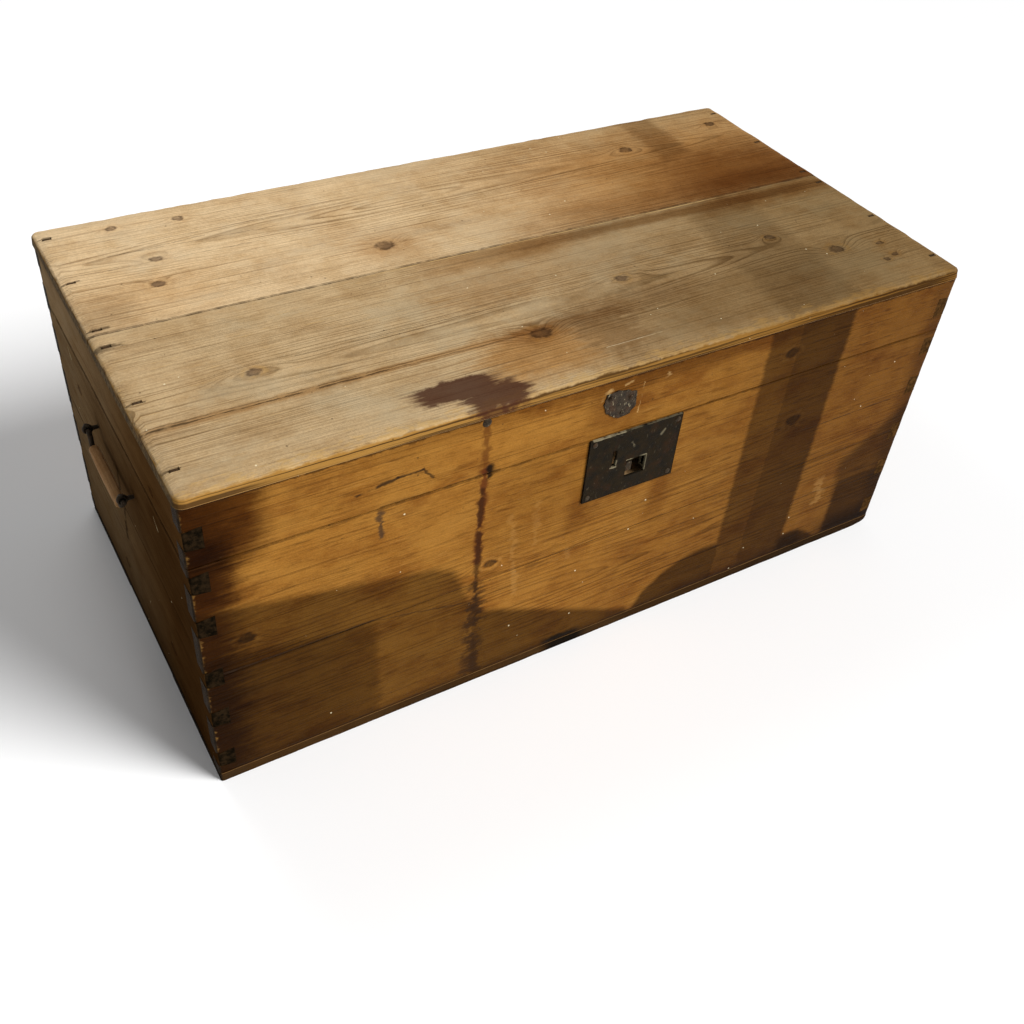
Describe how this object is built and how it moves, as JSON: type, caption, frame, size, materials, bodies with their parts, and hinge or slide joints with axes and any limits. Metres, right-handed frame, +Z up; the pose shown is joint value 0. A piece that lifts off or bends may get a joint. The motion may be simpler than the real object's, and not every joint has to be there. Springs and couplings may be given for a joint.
{
  "type": "sea chest",
  "caption": "Dovetailed pine sea chest with a deep hinged lid, an iron lock plate, drop handles on the ends and a lidded till inside.",
  "frame": {"origin": "middle of the chest's underside, at floor level", "axes": "+X along the length, to the right as seen from the lock's side; +Y from the lock's side to the hinges; +Z up"},
  "size_m": [0.972, 0.4923, 0.405],
  "materials": {
    "pine_top": "bare old pine, greyed and worn",
    "pine_case": "old varnished pine, stained",
    "pine_bottom": "rough sawn pine, dark with dirt",
    "pine_till": "planed pine",
    "grip_wood": "worn smooth wood",
    "lock_iron": "dark iron, pitted",
    "hinge_iron": "dark iron",
    "handle_iron": "dark iron",
    "nail_iron": "rusted iron"
  },
  "bodies": {
    "chest": {"front_board_lower": "pine_case", "front_board_upper": "pine_case", "back_board_lower": "pine_case", "back_board_upper": "pine_case", "left_end_lower": "pine_case", "left_end_upper": "pine_case", "right_end_lower": "pine_case", "right_end_upper": "pine_case", "bottom_board_front": "pine_bottom", "bottom_board_middle": "pine_bottom", "bottom_board_rear": "pine_bottom", "bottom_nails": "nail_iron", "lock_plate": "lock_iron", "lock_plate_nails": "nail_iron", "lock_case": "lock_iron", "bolt_guides": "lock_iron", "left_hinge_body_leaf": "hinge_iron", "right_hinge_body_leaf": "hinge_iron", "left_hinge_pin": "hinge_iron", "right_hinge_pin": "hinge_iron", "body_leaf_screws": "nail_iron", "till_front": "pine_till", "till_bottom": "pine_till", "left_handle_eyes": "handle_iron", "right_handle_eyes": "handle_iron"},
    "lid": {"lid_front_rail": "pine_case", "lid_back_rail": "pine_case", "lid_left_rail": "pine_case", "lid_right_rail": "pine_case", "top_board_front": "pine_top", "top_board_rear": "pine_top", "top_nails": "nail_iron", "rail_nail": "nail_iron", "hasp_plate": "lock_iron", "hasp_plate_nails": "nail_iron", "left_hinge_lid_leaf": "hinge_iron", "right_hinge_lid_leaf": "hinge_iron", "lid_leaf_screws": "nail_iron"},
    "lock_bolt": {"lock_bolt": "lock_iron", "bolt_spring": "lock_iron"},
    "till_lid": {"till_lid": "pine_till"},
    "left_handle": {"left_handle_bail": "handle_iron", "left_handle_grip": "grip_wood"},
    "right_handle": {"right_handle_bail": "handle_iron", "right_handle_grip": "grip_wood"}
  },
  "joints": [
    {"name": "lid_hinge", "type": "hinge", "parent": "chest", "child": "lid", "pos_m": [0, 0.242, 0.3203], "axis": [-1, 0, 0], "range_deg": [0, 100]},
    {"name": "lock_bolt_slide", "type": "slide", "parent": "chest", "child": "lock_bolt", "axis": [1, 0, 0], "range_m": [0, 0.019]},
    {"name": "till_lid_hinge", "type": "hinge", "parent": "chest", "child": "till_lid", "pos_m": [-0.4405, 0, 0.267], "axis": [0, -1, 0], "range_deg": [0, 90]},
    {"name": "left_handle_swing", "type": "hinge", "parent": "chest", "child": "left_handle", "pos_m": [-0.48, 0, 0.264], "axis": [0, 1, 0], "range_deg": [0, 150]},
    {"name": "right_handle_swing", "type": "hinge", "parent": "chest", "child": "right_handle", "pos_m": [0.48, 0, 0.264], "axis": [0, -1, 0], "range_deg": [0, 150]}
  ]
}
